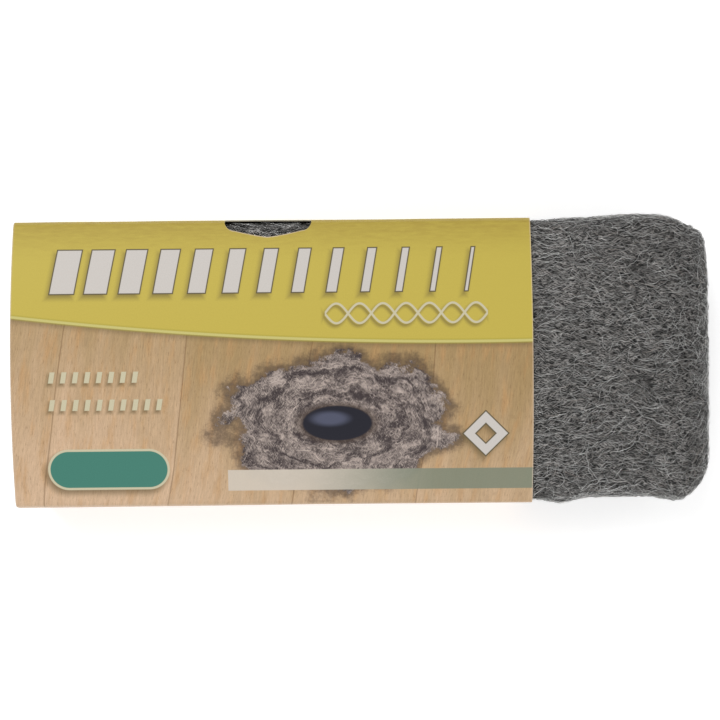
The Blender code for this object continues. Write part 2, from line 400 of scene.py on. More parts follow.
def printed_wood(along, down):
    """Light planks with fine grain across the pad, and thin joints between them."""
    tree = along.tree
    across = along + down * PLANK_LEAN + grain(along, down, 0.02, 0.02, 1.0, 3.1) * 5 + PLANK_OFFSET
    plank = (across / PLANK_WIDTH).floor()
    within = across / PLANK_WIDTH - plank
    joint = (within - 0.5).absolute()
    broad = grain(across, down, 0.16, 0.018, 2.0, 7.0)
    fine = grain(across, down, 1.7, 0.16, 5.0, 2.0, 0.8)
    pores = grain(across, down, 2.8, 0.40, 2.0, 11.0, 0.6)
    paling = (down - 36) / 80 - along / 290 + 0.16
    tone = paling + broad * 0.7 - chance(plank) * 0.20
    colour = blend(tree, WOOD_OLIVE, WOOD_PINK, tone.ramp(-0.05, 1.25))
    warm = grain(across, down, 0.30, 0.06, 3.0, 23.0, 0.6)
    colour = blend(tree, colour, WOOD_ORANGE, warm.ramp(0.46, 0.72) * 0.5)
    colour = shade(tree, colour, fine * 0.90 + 0.54)
    colour = blend(tree, colour, WOOD_PORE, pores.ramp(0.56, 0.76) * 0.5)
    return blend(tree, colour, WOOD_PORE, joint.ramp(0.4915, 0.4985) * 0.5)


def raised(colour, draw, along, down, tint, depth=1.0, outline=None):
    """A printed shape with a soft shadow down and to its left, and an outline if one is given.

    draw gives the distance to the shape's edge from two coordinates.
    """
    tree = along.tree
    shape = draw(along, down)
    fallen = draw(along + SHADOW_LEFT * depth, down - SHADOW_DOWN * depth)
    colour = blend(tree, colour, PRINT_SHADOW, fallen.ramp(1.9 * depth, -1.5 * depth) * 0.72)
    if outline:
        colour = blend(tree, colour, outline, (shape - OUTLINE).inside())
    return blend(tree, colour, tint, shape.inside())


def nearest_slant(along, down, row_down, left, pitch, count):
    """How far a place lies from the nearest shape's middle in a slanted row, and its number."""
    leaned = along + (down - row_down) * BARS_SLANT
    index = ((leaned - left) / pitch).floor().most(0).least(count - 1)
    middle = index * pitch + (left + pitch / 2)
    return (leaned - middle).absolute(), index


def slanted_bars(along, down):
    """A row of slanted bars that run from broad to fine."""
    aside, index = nearest_slant(along, down, BARS_DOWN, BARS_LEFT, BARS_PITCH, BARS_COUNT)
    narrowing = (BARS_WIDEST - BARS_NARROWEST) / (BARS_COUNT - 1)
    sideways = aside - (index * -narrowing + BARS_WIDEST)
    return sideways.most((down - BARS_DOWN).absolute() - BARS_HALF_HEIGHT)


def twisted_strands(along, down):
    """Two thin wavy lines laid over each other, like twisted wire."""
    turn = 2 * math.pi / STRAND_PITCH
    phase = (along - STRANDS_LEFT) * turn
    rise = phase.math("SINE") * STRANDS_RISE
    slope = phase.math("COSINE") * (STRANDS_RISE * turn)
    lean = (slope * slope + 1).power(0.5)
    drop = down - STRANDS_DOWN
    lines = ((drop - rise).absolute() / lean).least((drop + rise).absolute() / lean) - STRAND_STROKE
    middle = (STRANDS_LEFT + STRANDS_RIGHT) / 2
    return lines.most((along - middle).absolute() - (STRANDS_RIGHT - STRANDS_LEFT) / 2)


def slanted_dashes(along, down):
    """Two short rows of small slanted dashes."""
    shape = None
    for row_down, count in DASH_ROWS:
        aside, _ = nearest_slant(along, down, row_down, DASH_LEFT, DASH_PITCH, count)
        row = (aside - DASH_HALF_WIDTH).most((down - row_down).absolute() - DASH_HALF_HEIGHT)
        shape = row if shape is None else shape.least(row)
    return shape


def open_lozenge(along, down):
    """A square ring that stands on its corner."""
    across = (along - LOZENGE_MIDDLE[0]).absolute()
    drop = (down - LOZENGE_MIDDLE[1]).absolute()
    outside = (across + drop - LOZENGE_HALF) * math.sqrt(0.5)
    return outside.most(-(outside + LOZENGE_STROKE))


def long_oval(along, down):
    """A bar with round ends."""
    return box_shape(along, down, OVAL_MIDDLE, OVAL_HALF_LENGTH, OVAL_HALF_HEIGHT, OVAL_HALF_HEIGHT)


def printed_roll(colour, along, down):
    """A loose coil of grey-brown fibres round a dark oval, with a soft shadow."""
    tree = along.tree
    lumps = grain(along, down, 0.075, 0.075, 1.0, 14.0) * 16.0 - 8.0
    ragged = grain(along, down, 0.35, 0.35, 5.0, 5.0, 0.8) * 9.0 - 4.5
    aside = (along - ROLL_MIDDLE[0]) / ROLL_HALF_LENGTH
    drop = (down - ROLL_MIDDLE[1]) / ROLL_HALF_HEIGHT
    radius = (aside * aside + drop * drop).power(0.5)
    angle = drop.math("ARCTAN2", aside) / (2 * math.pi)
    shape = (radius - 1) * ROLL_HALF_HEIGHT + lumps + ragged
    wander = grain(along, down, 0.10, 0.10, 3.0, 9.0) * 2.2
    turns = radius * 3.4 - angle + wander
    gap = (turns - turns.floor() - 0.5).absolute()
    coiled = grain(radius * 30 + wander * 6, angle * 70, 1.3, 0.30, 3.0, 1.0, 0.7)
    threads = grain(along + down * 0.6, down - along * 0.5, 3.0, 0.50, 2.0, 4.0, 0.8)
    crossed = grain(along - down * 0.8, down + along * 0.7, 2.8, 0.45, 2.0, 8.0, 0.8)
    depth = grain(along, down, 0.16, 0.22, 2.0, 17.0, 0.6)
    light = threads.most(crossed).most(coiled) + depth * 0.40 - gap.ramp(0.30, 0.50) * 0.08
    fibres = blend(tree, FIBRE_DARK, FIBRE_LIGHT, light.ramp(0.64, 0.94))
    colour = blend(tree, colour, FIBRE_SHADOW, (shape - 1.5).ramp(3.5, -1.5) * 0.75)
    colour = blend(tree, colour, fibres, shape.ramp(0.5, -0.6))
    tube = ellipse(along, down, ROLL_MIDDLE, TUBE_HALF_LENGTH, TUBE_HALF_HEIGHT)
    colour = blend(tree, colour, FIBRE_SHADOW, tube.ramp(2.2, -0.2) * 0.8)
    colour = blend(tree, colour, TUBE_INK, tube.inside(0.3))
    shine_middle = (ROLL_MIDDLE[0] - 2.5, ROLL_MIDDLE[1] - 1.6)
    shine = ellipse(along, down, shine_middle, TUBE_HALF_LENGTH * 0.55, TUBE_HALF_HEIGHT * 0.42)
    return blend(tree, colour, TUBE_SHINE, shine.ramp(0.8, -1.2) * 0.7)


def front_print(tree, along, down):
    """The whole printed front, as one colour."""
    colour = printed_wood(along, down)
    colour = printed_roll(colour, along, down)

    share = along / FRONT_LENGTH
    field = down - (share * FIELD_FALL - share * share * FIELD_LEVELLING + FIELD_LEFT_DOWN)
    colour = blend(tree, colour, PRINT_SHADOW, field.ramp(2.8, -0.3) * 0.55)
    mottle = grain(along, down, 0.16, 0.9, 4.0, 6.0, 0.7)
    # Painted shade: the yellow darkens towards the upper fold, over mottled patches of duller print
    top = down.ramp(17, -2)
    dullness_and_shade = top * 0.3 + mottle * (top * 1.8 + 0.5)
    yellow = blend(tree, YELLOW, YELLOW_DULL_AND_SHADE, dullness_and_shade.ramp(0.10, 2.2))
    colour = blend(tree, colour, yellow, field.inside())
    border = (field + FIELD_BORDER / 2).absolute() - FIELD_BORDER / 2
    colour = blend(tree, colour, YELLOW_SHADE, (border - 0.4).inside(0.4) * 0.6)
    colour = blend(tree, colour, YELLOW_BORDER, border.inside(0.2) * 0.85)

    colour = raised(colour, slanted_bars, along, down, WHITE_INK, 1.0, DARK_INK)
    colour = raised(colour, twisted_strands, along, down, CREAM_INK, 0.6)
    colour = raised(colour, slanted_dashes, along, down, CREAM_INK, 0.6)
    colour = raised(colour, open_lozenge, along, down, WHITE_INK, 1.0, DARK_INK)

    strip_middle = (STRIP_LEFT + FRONT_LENGTH, (STRIP_TOP + STRIP_BOTTOM) / 2)
    strip = box_shape(along, down, strip_middle, FRONT_LENGTH, (STRIP_BOTTOM - STRIP_TOP) / 2)
    strip_colour = blend(tree, STRIP_PALE, STRIP_GREEN, along.ramp(92, 150))
    colour = blend(tree, colour, strip_colour, strip.inside() * 0.92)

    colour = raised(colour, long_oval, along, down, CREAM_INK)
    return blend(tree, colour, GREEN_INK, (long_oval(along, down) + OVAL_RIM).inside())


def add_bump(tree, shader, height, distance, strength=1.0):
    node = tree.nodes.new("ShaderNodeBump")
    node.inputs["Distance"].default_value = distance
    node.inputs["Strength"].default_value = strength
    feed(tree, node.inputs["Height"], height)
    tree.links.new(node.outputs["Normal"], shader.inputs["Normal"])


def mapped_coordinates(tree, name):
    """Millimetres along a piece and round it, from its unfolded or unrolled surface."""
    node = tree.nodes.new("ShaderNodeUVMap")
    node.uv_map = name
    split = tree.nodes.new("ShaderNodeSeparateXYZ")
    tree.links.new(node.outputs[0], split.inputs[0])
    return Number(tree, split.outputs[0]), Number(tree, split.outputs[1])


def hole_distance(along, down):
    """Millimetres from the hang hole's edge, on the unfolded card."""
    half = (HOLE_WIDTH / 2 - HOLE_END_DEPTH) / MM
    aside = (along - (HOLE_X - SLEEVE_LEFT) / MM).absolute()
    beyond = (aside - half).most(0)
    rise = (HOLE_MIDDLE_DEPTH - HOLE_END_DEPTH) / MM
    pointed = (aside / half).least(1).power(HOLE_POINTEDNESS) * -rise + rise
    from_axis = (beyond * beyond + down * down).power(0.5)
    return from_axis - pointed - (HOLE_END_DEPTH - FOLD_SHORTCUT) / MM


def printed_card():
    """Coated print, with a painted highlight as a pale strip along the lower front fold, and pale
    with wear at the upper fold, the cut ends and the hang hole.
    """
    settings = {"Roughness": 0.5, "Specular IOR Level": 0.16}
    made, tree, shader = new_material("printed_card", settings)
    along, down = mapped_coordinates(tree, "card")
    colour = front_print(tree, along, down)

    scuff = grain(along, down, 0.9, 0.9, 4.0, 12.0, 0.7)
    lower_fold = down - FRONT_GIRTH_MM
    upper_fold = down.absolute()
    # Painted highlight: a pale strip just past the lower front fold, where the card turns to the
    # light. The upper fold, the cut ends and the hang hole are pale with wear
    worn_and_highlit = (lower_fold - 1.1).absolute().ramp(1.3, 0.2) * 0.42 + upper_fold.ramp(0.8, 0.0) * 0.08
    ends = along.least(-along + FRONT_LENGTH)
    worn_and_highlit = worn_and_highlit.most(ends.ramp(0.55, 0.05) * 0.55)
    worn_and_highlit = worn_and_highlit.most(hole_distance(along, down).ramp(0.6, 0.2) * 0.8)
    colour = blend(tree, colour, WORN_PRINT_AND_HIGHLIGHT, worn_and_highlit * scuff.ramp(0.20, 0.55))

    speckle = grain(along, down, 3.4, 3.4, 1.0, 15.0)
    colour = shade(tree, colour, speckle * 0.22 + 0.89)
    tree.links.new(colour, shader.inputs["Base Color"])
    add_bump(tree, shader, grain(along, down, 1.4, 1.4, 3.0, 20.0), 0.00004, 0.5)
    return made


def plain_card(name, colour, scale):
    """Uncoated board, with a faint fibrous mottle."""
    made, tree, shader = new_material(name, {"Roughness": 0.85, "Specular IOR Level": 0.25})
    along, down = mapped_coordinates(tree, "card")
    mottle = grain(along, down, scale, scale, 4.0, 2.0, 0.7)
    tree.links.new(shade(tree, colour, mottle * 0.24 + 0.88), shader.inputs["Base Color"])
    add_bump(tree, shader, mottle, 0.00005, 0.6)
    return made


# The folded card


class Panel:
    """One side of a section, from start to end, bowed outwards. Sections are drawn in (Y, Z)."""

    def __init__(self, start, end, bow):
        self.start = Vector(start)
        self.end = Vector(end)
        self.chord = (self.end - self.start).length
        self.along = (self.end - self.start).normalized()
        self.out = Vector((self.along.y, -self.along.x))
        self.half_angle = 0
        if bow:
            self.radius = (self.chord**2 / 4 + bow**2) / (2 * bow)
            self.half_angle = math.asin(self.chord / (2 * self.radius))
            middle = (self.start + self.end) / 2
            self.centre = middle - self.out * (self.radius - bow)

    def place(self, share):
        if not self.half_angle:
            return self.start.lerp(self.end, share)
        angle = (2 * share - 1) * self.half_angle
        return self.centre + self.radius * (self.out * math.cos(angle) + self.along * math.sin(angle))

    def heading(self, share):
        angle = (2 * share - 1) * self.half_angle
        return self.along * math.cos(angle) - self.out * math.sin(angle)


def rounded_corner(panel, after, cut, radius, turn, steps):
    """Points round the corner between two panels, on a curve close to an arc."""
    leaving = 1 - cut / panel.chord
    joining = cut / after.chord
    start = panel.place(leaving)
    end = after.place(joining)
    handle = radius * math.tan(turn / 4) * 4 / 3
    start_handle = start + panel.heading(leaving) * handle
    end_handle = end - after.heading(joining) * handle
    points = []
    for step in range(steps + 1):
        share = step / steps
        rest = 1 - share
        near = start * rest**3 + start_handle * (3 * rest**2 * share)
        points.append(near + end_handle * (3 * rest * share**2) + end * share**3)
    return points


def section(width, depth, arch, bows, radius, side_steps, front_steps, fold_steps):
    """A section's outline, anticlockwise from the flat back's +Y end round to its -Y end."""
    half = width / 2
    corners = [(-half, 0), (half, 0), (half, depth), (-half, depth)]
    panel_bows = [0, bows[0], arch, bows[1]]
    steps = [1, side_steps, front_steps, side_steps]
    panels = [Panel(corners[i], corners[(i + 1) % 4], panel_bows[i]) for i in range(4)]
    points = []
    taken = 0
    for i, panel in enumerate(panels):
        after = panels[(i + 1) % 4]
        turn = panel.heading(1).angle(after.heading(0))
        cut = radius * math.tan(turn / 2)
        if i > 0:
            first = taken / panel.chord
            last = 1 - cut / panel.chord
            for step in range(1, steps[i]):
                points.append(panel.place(first + (last - first) * step / steps[i]))
        points += rounded_corner(panel, after, cut, radius, turn, fold_steps)
        taken = cut
    return points


def normals_along(points, closed=False):
    """Outward normals along a line, as long as keeps what is drawn beside it parallel."""
    ahead = points[1:] + points[:1]
    headings = [(after - before).normalized() for before, after in zip(points, ahead)]
    if not closed:
        headings[-1] = headings[-2]
    entering = [headings[-1] if closed else headings[0]] + headings[:-1]
    normals = []
    for before, after in zip(entering, headings):
        normal = Vector((before.y + after.y, -before.x - after.x)).normalized()
        normals.append(normal / normal.dot(Vector((before.y, -before.x))))
    return normals


def lengths_along(points):
    """Millimetres from the first of a row of points to each of them."""
    lengths = [0.0]
    for before, after in zip(points, points[1:]):
        lengths.append(lengths[-1] + (after - before).length / MM)
    return lengths


def inset(points, distance):
    """A closed outline moved inwards by the same distance along every side."""
    return [point - normal * distance for point, normal in zip(points, normals_along(points, True))]


SLEEVE_COLUMNS = 60
SLEEVE_SIDE_STEPS = 20
SLEEVE_FRONT_STEPS = 64
SLEEVE_FOLD_STEPS = 8
LAP_STEPS = 6
FLAP_STEPS = 12
UPPER_FOLD_POINT = FLAP_STEPS + SLEEVE_FOLD_STEPS + SLEEVE_SIDE_STEPS + SLEEVE_FOLD_STEPS // 2
PRINT_SLOT = 0
BOARD_SLOT = 1
CUT_SLOT = 2
LOWER_BULGE = 0.0007
LOWER_BULGE_LENGTH = 0.12
WARP = 0.00014


def strip_centre_line(lower_bow):
    """The middle of the folded strip, from its outer end round to its inner end.

    It starts at the lap's edge on the back, runs to +Y, up, over the front, down at -Y and back
    inside the lap.
    """
    outer = section(
        SLEEVE_WIDTH, SLEEVE_DEPTH, FRONT_ARCH, (SIDE_BOW, lower_bow), FOLD_RADIUS,
        SLEEVE_SIDE_STEPS, SLEEVE_FRONT_STEPS, SLEEVE_FOLD_STEPS,
    )
    wrapped = inset(outer, CARD / 2)
    low = CARD / 2
    high = CARD * 1.5 + GLUE_GAP
    start = Vector((LAP_EDGE_Y, low))
    out_flap = [start.lerp(wrapped[0], i / FLAP_STEPS) for i in range(FLAP_STEPS)]
    foot = Vector((LAP_EDGE_Y - 2 * LAP_SLOPE, low))
    step_up = Vector((LAP_EDGE_Y - LAP_SLOPE * 0.4, high))
    tip = Vector((LAP_EDGE_Y + LAP_WIDTH, high))
    in_flap = [wrapped[-1].lerp(foot, i / FLAP_STEPS) for i in range(1, FLAP_STEPS + 1)]
    lap = [step_up.lerp(tip, i / LAP_STEPS) for i in range(LAP_STEPS + 1)]
    return out_flap + wrapped + in_flap + lap


# Millimetres round the strip, counted from the upper front fold towards the front
STRIP_LENGTHS = lengths_along(strip_centre_line(SIDE_BOW))
AROUND_CARD = [length - STRIP_LENGTHS[UPPER_FOLD_POINT] for length in STRIP_LENGTHS]
FRONT_GIRTH_MM = AROUND_CARD[UPPER_FOLD_POINT + SLEEVE_FRONT_STEPS + SLEEVE_FOLD_STEPS]


def warp(x, y, z):
    """How far the card is pushed out by the uneven wool under it."""
    if z < FOLD_RADIUS:
        return 0.0
    lift = min((z - FOLD_RADIUS) / SLEEVE_DEPTH, 1)
    waves = noise.noise(Vector((x * 22, y * 30, z * 30)))
    waves += 0.4 * noise.noise(Vector((x * 60, y * 70, 3)))
    return WARP * waves * lift


def add_face(bm, flat_map, corners, places, slot=0):
    """A face with its corners' places on the flat map, in millimetres."""
    face = bm.faces.new(corners)
    face.material_index = slot
    for loop, place in zip(face.loops, places):
        loop[flat_map].uv = place


def make_sleeve():
    """The folded card as a bent slab: outer print, inner board and cut edges."""
    bm = bmesh.new()
    card_map = bm.loops.layers.uv.new("card")
    outer_rows = []
    inner_rows = []
    flat = {}
    for column in range(SLEEVE_COLUMNS + 1):
        share = column / SLEEVE_COLUMNS
        x = SLEEVE_LEFT + SLEEVE_LENGTH * share
        bulge = LOWER_BULGE * max(1 - share * SLEEVE_LENGTH / LOWER_BULGE_LENGTH, 0)
        points = strip_centre_line(SIDE_BOW + bulge)
        normals = normals_along(points)
        for i, normal in enumerate(normals):
            points[i] += normal.normalized() * warp(x, *points[i])
        for rows, offset in ((outer_rows, CARD / 2), (inner_rows, -CARD / 2)):
            moved = [point + normal * offset for point, normal in zip(points, normals)]
            rows.append([bm.verts.new((x, *place)) for place in moved])
            for vert, around in zip(rows[-1], AROUND_CARD):
                flat[vert] = (share * FRONT_LENGTH, around)

    def add_strip(slot, near, far):
        for i in range(len(near) - 1):
            corners = (near[i], far[i], far[i + 1], near[i + 1])
            add_face(bm, card_map, corners, [flat[corner] for corner in corners], slot)

    for column in range(SLEEVE_COLUMNS):
        add_strip(PRINT_SLOT, outer_rows[column], outer_rows[column + 1])
        add_strip(BOARD_SLOT, inner_rows[column], inner_rows[column + 1])
    for column in (0, SLEEVE_COLUMNS):
        add_strip(CUT_SLOT, outer_rows[column], inner_rows[column])
    for edge in (0, -1):
        outer_edge = [row[edge] for row in outer_rows]
        inner_edge = [row[edge] for row in inner_rows]
        add_strip(CUT_SLOT, outer_edge, inner_edge)
    bmesh.ops.recalc_face_normals(bm, faces=bm.faces[:])

    mesh = bpy.data.meshes.new("printed_sleeve")
    bm.to_mesh(mesh)
    bm.free()
    mesh.materials.append(printed_card())
    mesh.materials.append(plain_card("bare_board", BARE_BOARD, 0.7))
    mesh.materials.append(plain_card("cut_card", CUT_CARD, 2.5))
    sleeve = add_object("printed_sleeve", mesh)
    punch_hang_hole(sleeve)
    sleeve.data.shade_smooth()
    sleeve.data.set_sharp_from_angle(angle=math.radians(40))
    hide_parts("card_sleeve")
    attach(sleeve, "root")


def punch_hang_hole(sleeve):
    """Cut the hang hole through the upper front fold, with cut card on its walls."""
    corner = Vector((SLEEVE_WIDTH / 2, SLEEVE_DEPTH))
    before = Panel((corner.x, 0), corner, SIDE_BOW).heading(1)
    after = Panel(corner, (-corner.x, corner.y), FRONT_ARCH).heading(0)
    across = (before + after).normalized()
    out = Vector((across.y, -across.x))
    foreshortening = math.cos(before.angle(after) / 2)
    reach = HOLE_MIDDLE_DEPTH + FOLD_RADIUS
    end_radius = HOLE_END_DEPTH * foreshortening
    point_rise = HOLE_MIDDLE_DEPTH * foreshortening - end_radius
    half = HOLE_WIDTH / 2 - end_radius
    outline = []
    for sign in (1, -1):
        for step in range(HOLE_END_STEPS + 1):
            angle = math.pi * (step / HOLE_END_STEPS - 0.5)
            along = half + end_radius * math.cos(angle)
            outline.append((sign * along, sign * end_radius * math.sin(angle)))
        for step in range(1, HOLE_EDGE_STEPS):
            share = 1 - 2 * step / HOLE_EDGE_STEPS
            depth = end_radius + point_rise * (1 - abs(share) ** HOLE_POINTEDNESS)
            outline.append((sign * half * share, sign * depth))
    bm = bmesh.new()
    rings = []
    for offset in (-reach, reach):
        places = [(along, *(corner + across * depth + out * offset)) for along, depth in outline]
        rings.append([bm.verts.new((HOLE_X + x, y, z)) for x, y, z in places])
        bm.faces.new(rings[-1])
    low, high = rings
    for i in range(len(outline)):
        bm.faces.new((low[i - 1], low[i], high[i], high[i - 1]))
    bmesh.ops.recalc_face_normals(bm, faces=bm.faces[:])
    mesh = bpy.data.meshes.new("punch")
    bm.to_mesh(mesh)
    bm.free()
    for surface in sleeve.data.materials:
        mesh.materials.append(surface)
    for face in mesh.polygons:
        face.material_index = CUT_SLOT
    punch = add_object("punch", mesh)
    hole = sleeve.modifiers.new("hang_hole", "BOOLEAN")
    hole.operation = "DIFFERENCE"
    hole.solver = "EXACT"
    hole.object = punch
    bpy.context.view_layer.update()
    evaluated = sleeve.evaluated_get(bpy.context.evaluated_depsgraph_get())
    punched = bpy.data.meshes.new_from_object(evaluated)
    sleeve.modifiers.clear()
    sleeve.data = punched
    bpy.data.objects.remove(punch, do_unlink=True)


# The roll of wool

# Steps along each side, along the front and round each corner
CORE_STEPS = (44, 72, 8)
CORE_BACK_STEPS = 48
CORE_END_STEPS = 22
CORE_HELD_STEPS = 24
CORE_BARE_STEPS = 46
CORE_INSET = 0.00085
CORE_LOWEST = 0.0002
BARED_LENGTH = 0.0035
HOLE_HOLLOW = 0.0014
HOLE_HOLLOW_REACH = 0.011
GROOVE_DEPTH = 0.0020
GROOVE_SHARE = 0.38
GROOVE_WAVER = 0.18
LUMP_HEIGHT = 0.00022
SMALL_LUMP_HEIGHT = 0.00012


def ease(share):
    """A smooth step from 0 to 1."""
    share = min(max(share, 0), 1)
    return share * share * (3 - 2 * share)


def swelling(x, swells):
    """How far the swellings along one long side push the wool out at one place."""
    total = 0
    for from_end, reach, height in swells:
        share = min(abs(x - (WOOL_RIGHT - from_end)) / reach, 1)
        total += height * (1 + math.cos(math.pi * share)) / 2
    return total


def superellipse(share, power):
    """How much of the full size is left at a share of the way to a rounded end."""
    return (1 - share**power) ** (1 / power)


def held_outline():
    """The wool's outline inside the sleeve, clear of the card and, on the back, of the lap."""
    bows = (SIDE_BOW, SIDE_BOW)
    outline = section(SLEEVE_WIDTH, SLEEVE_DEPTH, FRONT_ARCH, bows, FOLD_RADIUS, *CORE_STEPS)
    outline = inset(outline, CARD + FIT)
    top = SLEEVE_DEPTH + FRONT_ARCH - CARD - FIT
    squeeze = 1 - CARD / (top - CARD - FIT)
    return [Vector((point.x, top - (top - point.y) * squeeze)) for point in outline]


def bare_outline():
    """The wool's own outline outside the sleeve, before its swellings."""
    width = WOOL_WIDTH - 2 * WOOL_SIDE_BOW
    depth = WOOL_THICKNESS - WOOL_ARCH
    bows = (WOOL_SIDE_BOW, WOOL_SIDE_BOW)
    return section(width, depth, WOOL_ARCH, bows, WOOL_EDGE_RADIUS, *CORE_STEPS)


def close_back(outline):
    """The outline with points along its flat back."""
    first, last = outline[0], outline[-1]
    return outline + [last.lerp(first, i / CORE_BACK_STEPS) for i in range(1, CORE_BACK_STEPS)]


def wool_outline(x, held, bare):
    """The roll's outline at one place along it."""
    share = ease((x - SLEEVE_RIGHT - FIT) / SPRING_LENGTH)
    upper = swelling(x, UPPER_SWELLS)
    lower = swelling(x, LOWER_SWELLS)
    outline = []
    for tight, free in zip(held, bare):
        sideways = free.x / (WOOL_WIDTH / 2)
        change = upper * max(sideways, 0) - lower * max(-sideways, 0)
        outline.append(tight.lerp(free + Vector((change, 0)), share))
    end_share = max(x - (WOOL_RIGHT - END_LENGTH), WOOL_LEFT + END_LENGTH - x, 0) / END_LENGTH
    across = superellipse(end_share, END_SQUARE_ACROSS)
    up = superellipse(end_share, END_SQUARE_UP)
    heights = [point.y for point in outline]
    middle = (min(heights) + max(heights)) / 2
    return [Vector((point.x * across, middle + (point.y - middle) * up)) for point in outline]


def wool_stations():
    """Where outlines are drawn along the roll, closer together towards the ends."""
    last = math.asin(END_REACH)
    end = [math.sin(last * i / CORE_END_STEPS) for i in range(1, CORE_END_STEPS + 1)]
    left = [WOOL_LEFT + END_LENGTH * (1 - share) for share in reversed(end)]
    right = [WOOL_RIGHT - END_LENGTH * (1 - share) for share in end]
    held = np.linspace(WOOL_LEFT + END_LENGTH, SLEEVE_RIGHT + FIT, CORE_HELD_STEPS)
    bare = np.linspace(SLEEVE_RIGHT + FIT, WOOL_RIGHT - END_LENGTH, CORE_BARE_STEPS)
    return left + list(held) + list(bare[1:]) + right


def winding(x, z):
    """Direction of the ribbon in (X, Z), and how deep in the roll a place on its side lies."""
    middle = WOOL_THICKNESS / 2
    flattening = END_LENGTH / middle
    right = WOOL_RIGHT - END_LENGTH
    left = WOOL_LEFT + END_LENGTH
    up = z - middle
    beyond = (max(x - right, 0) + min(x - left, 0)) / flattening
    distance = math.hypot(beyond, up)
    if distance < 1e-6:
        return (1.0, 0.0), middle, 0.0
    tangent = (up / distance, -beyond / distance)
    turned = math.atan2(-beyond, up) / (2 * math.pi)
    return tangent, middle - distance, turned


def groove(x, z):
    """How deep the gap between turns is at a place on a long side, from 0 to 1."""
    _, depth, turned = winding(x, z)
    phase = depth / TURN_PITCH - turned
    phase += GROOVE_WAVER * noise.noise(Vector((x * 90, z * 60, 5)))
    gap = abs(phase - math.floor(phase) - 0.5) * 2
    return max((gap - 1 + GROOVE_SHARE) / GROOVE_SHARE, 0)


def uneven(x, y, z):
    """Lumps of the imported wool, drawn out along the pad."""
    lumps = noise.noise(Vector((x * 60, y * 110, z * 110)))
    small = noise.noise(Vector((x * 210, y * 420, z * 420)))
    return LUMP_HEIGHT * lumps + SMALL_LUMP_HEIGHT * small


def slack(place):
    """How far the core lies below the roll's own surface, to make room for loose fibres."""
    bared = ease((place.x - SLEEVE_RIGHT) / BARED_LENGTH + 1)
    ended = ease((WOOL_LEFT + END_LENGTH - place.x) / END_LENGTH)
    aside = ease(2 - abs(place.x - HOLE_X) / (HOLE_WIDTH / 2))
    by_fold = ease((place.y - SLEEVE_WIDTH / 2) / HOLE_HOLLOW_REACH + 1)
    by_fold *= ease((place.z - SLEEVE_DEPTH) / HOLE_HOLLOW_REACH + 1)
    return max(CORE_INSET * bared, CORE_INSET * 0.7 * ended, HOLE_HOLLOW * aside * by_fold)


def make_core():
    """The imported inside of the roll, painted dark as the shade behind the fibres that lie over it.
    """
    held = close_back(held_outline())
    bare = close_back(bare_outline())
    around = lengths_along(bare + bare[:1])
    bm = bmesh.new()
    wool_map = bm.loops.layers.uv.new("wool")
    rings = []
    crests = []
    for x in wool_stations():
        outline = wool_outline(x, held, bare)
        rings.append([bm.verts.new((x, *point)) for point in outline])
        crests.append(Vector((x, *max(outline, key=lambda point: point.y))))
    wound = lengths_along(crests)
    count = len(bare)
    for before, after, start, end in zip(rings, rings[1:], wound, wound[1:]):
        for i in range(count):
            near, far = around[i], around[i + 1]
            corners = (before[i], before[(i + 1) % count], after[(i + 1) % count], after[i])
            places = ((start, near), (start, far), (end, far), (end, near))
            add_face(bm, wool_map, corners, places)
    for ring, place in ((rings[0], wound[0]), (rings[-1], wound[-1])):
        centre = bm.verts.new(sum((vert.co for vert in ring), Vector()) / count)
        for i in range(count):
            near, far = around[i], around[i + 1]
            corners = (ring[i], ring[(i + 1) % count], centre)
            places = ((place, near), (place, far), (place, (near + far) / 2))
            add_face(bm, wool_map, corners, places)
    bmesh.ops.recalc_face_normals(bm, faces=bm.faces[:])
    bm.normal_update()
    for vert in bm.verts:
        x, y, z = vert.co
        normal = vert.normal.copy()
        bared = ease((x - SLEEVE_RIGHT) / BARED_LENGTH + 1)
        push = -slack(vert.co) + uneven(x, y, z) * (0.25 + 0.75 * bared)
        side = max(abs(normal.y) - 0.55, 0) / 0.45
        closing = ease(min(WOOL_RIGHT - x, x - WOOL_LEFT) / (0.3 * END_LENGTH))
        push -= GROOVE_DEPTH * groove(x, z) * ease(side) * (0.3 + 0.7 * bared) * closing
        vert.co += normal * push
        vert.co.z = max(vert.co.z, CORE_LOWEST)
    mesh = bpy.data.meshes.new("wool_core")
    bm.to_mesh(mesh)
    bm.free()
    mesh.shade_smooth()
    mesh.materials.append(core_material())
    core = add_object("wool_core", mesh)
    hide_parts("wool_hank")
    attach(core, "root")
    return core


def combed(along, across, lean, spacing, offset):
    """Fine broken strands side by side along the pad, from 0 between them to 1 on them."""
    turned_along = along * math.cos(lean) + across * math.sin(lean)
    turned_across = across * math.cos(lean) - along * math.sin(lean)
    bent = grain(turned_across, turned_along, 0.16, 0.09, 3.0, offset, 0.6) * 7.0
    place = turned_across / spacing + bent
    strand = place.floor()
    middle = (place - strand - 0.5).absolute()
    broken = grain(strand, turned_along, 3.7, 0.42, 1.0, offset + 2.0)
    return middle.ramp(0.36, 0.10) * broken.ramp(0.42, 0.62)


def core_material():
    """Packed fibres for what shows between the loose ones: light strands over near-black painted
    shade.
    """
    made, tree, shader = new_material("packed_wool", {"Roughness": 0.6, "Metallic": 0.4})
    along, across = mapped_coordinates(tree, "wool")
    light = combed(along, across, 0.08, 0.66, 1.0)
    light = light.most(combed(along, across, 0.62, 0.74, 4.0) * 0.9)
    light = light.most(combed(along, across, -0.50, 0.70, 8.0) * 0.9)
    colour = blend(tree, PACKED_SHADE, PACKED_LIGHT, light)
    tree.links.new(colour, shader.inputs["Base Color"])
    add_bump(tree, shader, light, 0.0002, 1.0)
    return made


# Kinds of loose fibre, as ranges in millimetres. Heights are above the core.

